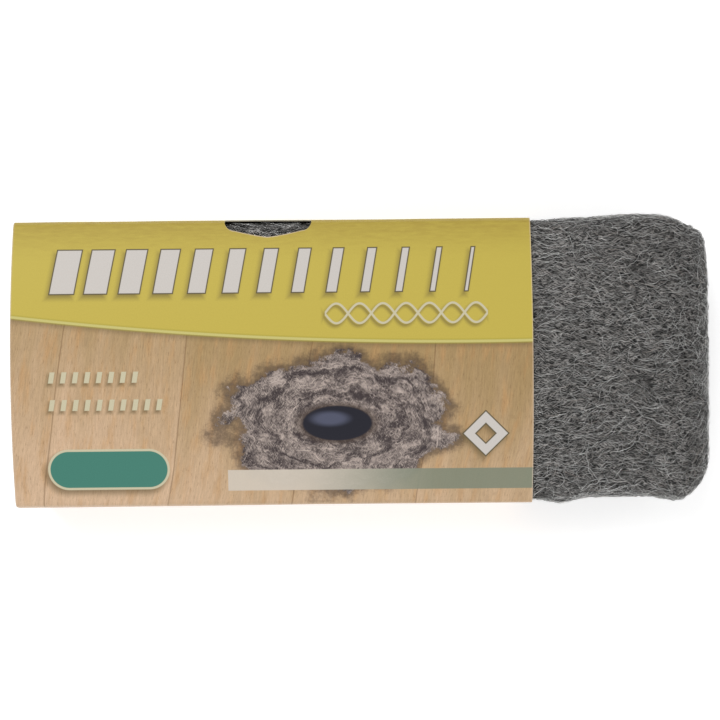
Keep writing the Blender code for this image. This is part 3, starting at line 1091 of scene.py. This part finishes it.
OVER = {"points": 6, "radius": (0.042, 0.070), "height": (0.20, 0.80), "length": (3.5, 9)}
UNDER = {"points": 6, "radius": (0.045, 0.070), "height": (0.00, 0.30), "length": (3, 7)}
STRAY = {"points": 10, "radius": (0.060, 0.085), "height": (0.80, 1.05), "length": (7, 16)}
# The darkest and lightest tone of each steel, as sRGB. The shaded steel is painted shade: the same
# steel made darker for fibres that lie low under others.
STEEL_TONES = (86, 232)
SHADED_STEEL_TONES = (36, 76)
FIBRE_SIDES = 3
FIBRE_LOWEST = 0.12 * MM
WAVE_HEIGHT = 0.16 * MM
END_DIP = 0.45 * MM


def fibre_material(name, dark, light):
    """Shaved steel, each fibre in a tone of its own, with a few browned ones."""
    made, tree, shader = new_material(name, {"Roughness": 0.32, "Metallic": 0.85})
    node = tree.nodes.new("ShaderNodeNewGeometry")
    tone = Number(tree, node.outputs["Random Per Island"])
    lightest = srgb(light, light, light - 2)
    colour = blend(tree, srgb(dark, dark, dark - 1), lightest, tone.ramp(0.0, 1.0))
    browned = srgb(light - 26, light - 42, light - 52)
    colour = blend(tree, colour, browned, chance(tone * 7919).ramp(0.94, 0.97) * 0.55)
    tree.links.new(colour, shader.inputs["Base Color"])
    return made


class Surface:
    """The core's skin, for finding places on it and staying on it."""

    def __init__(self, core):
        mesh = core.data
        mesh.calc_loop_triangles()
        self.points = [vert.co.copy() for vert in mesh.vertices]
        self.triangles = [tuple(triangle.vertices) for triangle in mesh.loop_triangles]
        self.tree = BVHTree.FromPolygons(self.points, self.triangles)
        corners = np.array(self.points)[np.array(self.triangles)]
        cross = np.cross(corners[:, 1] - corners[:, 0], corners[:, 2] - corners[:, 0])
        doubled = np.linalg.norm(cross, axis=1)
        self.areas = doubled / 2
        self.normals = cross / np.maximum(doubled, 1e-12)[:, None]
        self.middles = corners.mean(axis=1)

    def starts(self, chosen, count, draws):
        """Places spread evenly over the chosen triangles."""
        weights = np.cumsum(self.areas * chosen)
        spots = (np.arange(count) + draws.random(count)) / count
        picks = np.searchsorted(weights, spots * weights[-1])
        shares = draws.random((count, 2))
        places = []
        for pick, (along, up) in zip(picks, shares):
            if along + up > 1:
                along, up = 1 - along, 1 - up
            first, second, third = (self.points[corner] for corner in self.triangles[pick])
            places.append(first + (second - first) * along + (third - first) * up)
        return places


def tangle(place):
    """How unruly the fibres are, from 0 by the sleeve's upper corner to 1 at the lower right."""
    out = min(max((place.x - SLEEVE_RIGHT) / 0.060, 0), 1)
    down = min(max((0.040 - place.y) / 0.070, 0), 1)
    return 0.5 * out + 0.5 * down


def heading_field(place):
    """Angle by which the fibres near a place stray from the winding direction."""
    broad = noise.noise(place * 45)
    narrow = noise.noise(place * 260 + Vector((0, 0, 9)))
    return (0.10 + 0.35 * tangle(place)) * broad + 0.25 * narrow


def room_above(place, normal):
    """How far a fibre may stand off the core, little more than its slack under card."""
    out = max(place.x - SLEEVE_RIGHT, 0) * 0.6 + max(-normal.x, 0) * 0.5 * MM
    return (slack(place) + 0.06 * MM + out) * (0.45 + 0.55 * abs(normal.z))


def walk_fibre(surface, start, count, length, angle, bend, height, draws):
    """Points and normals of one fibre that wanders over the core from its start."""
    step = length / (count - 1)
    phase = draws.random() * 2 * math.pi
    waves = draws.uniform(0.6, 1.6) * 2 * math.pi / (count - 1)
    crimp_phase = draws.random() * 2 * math.pi
    crimp = draws.uniform(0.1, 0.5)
    place, normal, _, _ = surface.tree.find_nearest(start)
    points = []
    normals = []
    for index in range(count):
        end_dip = max(abs(2 * index / (count - 1) - 1) - 0.5, 0) / 0.5
        lift = height + WAVE_HEIGHT * math.sin(phase + waves * index) - END_DIP * end_dip
        lift = min(lift, room_above(place, normal))
        point = place + normal * lift
        point.z = max(point.z, FIBRE_LOWEST)
        points.append(point)
        normals.append(normal)
        (along_x, along_z), _, _ = winding(place.x, place.z)
        along = Vector((along_x, 0, along_z))
        along -= normal * along.dot(normal)
        if along.length < 1e-4:
            along = normal.orthogonal()
        along.normalize()
        turned = angle + heading_field(place) + crimp * math.sin(crimp_phase + 1.7 * index)
        direction = along * math.cos(turned) + normal.cross(along) * math.sin(turned)
        angle += bend * step + draws.normal(0, 0.12)
        place, normal, _, _ = surface.tree.find_nearest(place + direction * step)
    return points, normals


def make_fibres(name, surface, chosen, count, kind, steel, seed):
    """One piece made of many fibres laid over the chosen part of the core."""
    draws = np.random.default_rng(seed)
    points_each = kind["points"]
    places = np.empty((count, points_each, 3))
    normals = np.empty((count, points_each, 3))
    radii = np.empty(count)
    for i, start in enumerate(surface.starts(chosen, count, draws)):
        unruly = tangle(start)
        crossing = draws.random() < 0.14 + 0.20 * unruly
        angle = draws.uniform(-1.5, 1.5) if crossing else draws.normal(0, 0.24 + 0.30 * unruly)
        angle += draws.choice((0, math.pi))
        curly = draws.random() < 0.03 + 0.09 * unruly
        bend = draws.uniform(150, 380) * draws.choice((-1, 1)) if curly else draws.normal(0, 40)
        height = draws.uniform(*kind["height"]) * MM
        length = draws.uniform(*kind["length"]) * MM
        crowded = 1 + 0.5 * noise.noise(start * 90) + 0.3 * noise.noise(start * 35)
        radii[i] = draws.uniform(*kind["radius"]) * MM * crowded
        walked = walk_fibre(surface, start, points_each, length, angle, bend, height, draws)
        places[i], normals[i] = walked
    mesh = tube_mesh(name, places, normals, radii)
    mesh.materials.append(steel)
    fibres = add_object(name, mesh)
    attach(fibres, "root")


def tube_mesh(name, places, normals, radii):
    """Closed three-sided tubes through rows of points, tapered at both ends."""
    count, length, _ = places.shape
    tangents = np.gradient(places, axis=1)
    tangents /= np.maximum(np.linalg.norm(tangents, axis=2, keepdims=True), 1e-9)
    sides = np.cross(tangents, normals)
    sides /= np.maximum(np.linalg.norm(sides, axis=2, keepdims=True), 1e-9)
    ups = np.cross(sides, tangents)
    taper = 1 - 0.65 * np.abs(np.linspace(-1, 1, length)) ** 4
    reach = radii[:, None] * taper[None, :]
    verts = np.empty((count, length, FIBRE_SIDES, 3))
    for side in range(FIBRE_SIDES):
        angle = 2 * math.pi * side / FIBRE_SIDES + math.pi / 2
        offset = sides * math.cos(angle) + ups * math.sin(angle)
        verts[:, :, side] = places + offset * reach[:, :, None]

    ring = np.arange(length * FIBRE_SIDES).reshape(length, FIBRE_SIDES)
    after = np.roll(ring, -1, axis=1)
    quads = np.stack([ring[:-1], after[:-1], after[1:], ring[1:]], axis=-1).reshape(-1, 4)
    first = np.arange(count)[:, None, None] * (length * FIBRE_SIDES)
    faces = (first + quads).reshape(-1, 4).tolist()
    for cap in (ring[0, ::-1], ring[-1]):
        faces += (first[:, 0] + cap).tolist()
    mesh = bpy.data.meshes.new(name)
    mesh.from_pydata(verts.reshape(-1, 3).tolist(), [], faces, shade_flat=False)
    mesh.validate()
    return mesh


def lay_fibres(core):
    """Fibres over every part of the roll that shows."""
    surface = Surface(core)
    middles = surface.middles
    normals = surface.normals
    bare = middles[:, 0] > SLEEVE_RIGHT - 3.5 * MM
    front = bare & (normals[:, 2] > 0.30)
    back = bare & (normals[:, 2] < -0.50)
    end = bare & ~front & ~back & (np.abs(normals[:, 0]) > np.abs(normals[:, 1]))
    sides = bare & ~front & ~back & ~end
    left_end = middles[:, 0] < WOOL_LEFT + 0.55 * END_LENGTH
    beside_hole = np.abs(middles[:, 0] - HOLE_X) < HOLE_WIDTH / 2 + 1.5 * MM
    by_fold = (middles[:, 1] > SLEEVE_WIDTH / 2 - 9 * MM) & (middles[:, 2] > SLEEVE_DEPTH - 8 * MM)
    bright_steel = fibre_material("steel_fibre", *STEEL_TONES)
    # Painted shade: a darker copy of the steel for the fibres that lie under others
    shaded_steel = fibre_material("shaded_steel_fibre", *SHADED_STEEL_TONES)
    patches = [
        ("front_over", front, 3900, OVER),
        ("front_under", front, 4000, UNDER),
        ("front_strays", front, 130, STRAY),
        ("end_over", end, 2500, OVER),
        ("end_under", end, 2000, UNDER),
        ("side_over", sides, 2100, OVER),
        ("side_under", sides, 1600, UNDER),
        ("back_over", back, 2400, OVER),
        ("left_end_over", left_end, 2400, OVER),
        ("hang_hole_over", beside_hole & by_fold, 130, OVER),
        ("hang_hole_under", beside_hole & by_fold, 300, UNDER),
    ]
    for seed, (name, chosen, count, kind) in enumerate(patches, start=1):
        steel = shaded_steel if kind is UNDER else bright_steel
        make_fibres(name, surface, chosen, count, kind, steel, seed)


make_camera()
make_light()
make_floor()
make_sleeve()
lay_fibres(make_core())
